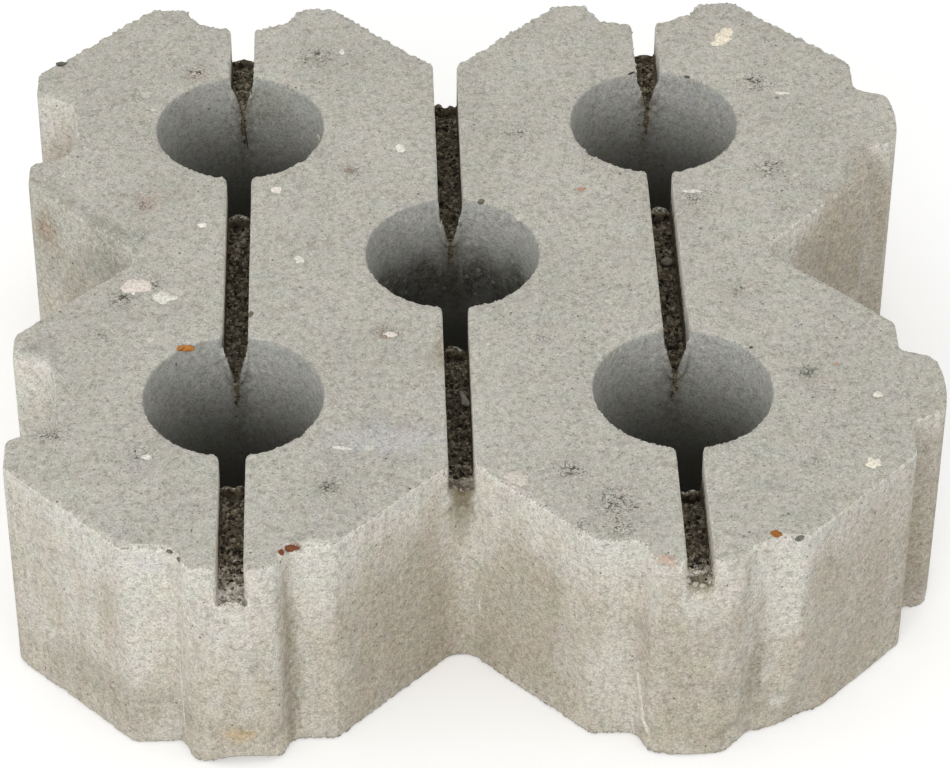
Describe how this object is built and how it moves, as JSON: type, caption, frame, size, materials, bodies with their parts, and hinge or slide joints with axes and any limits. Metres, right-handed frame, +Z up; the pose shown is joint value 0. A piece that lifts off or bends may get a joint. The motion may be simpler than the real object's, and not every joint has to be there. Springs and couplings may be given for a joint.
{
  "type": "concrete paving stone",
  "caption": "Square cast concrete block with round through holes, slots across its top face, V-notched sides, and noses that fit recesses in the next block.",
  "frame": {"origin": "on the axis of the middle hole, in the base plane", "axes": "+Z up, from the base to the slotted walking face; +X out of one of the two sides with noses, -Y out of the other, and the slots run along Y"},
  "size_m": [0.3135, 0.311, 0.088],
  "materials": {
    "concrete": "rough cast, pale grey"
  },
  "bodies": {
    "root": {"paving_stone": "concrete"}
  },
  "joints": []
}
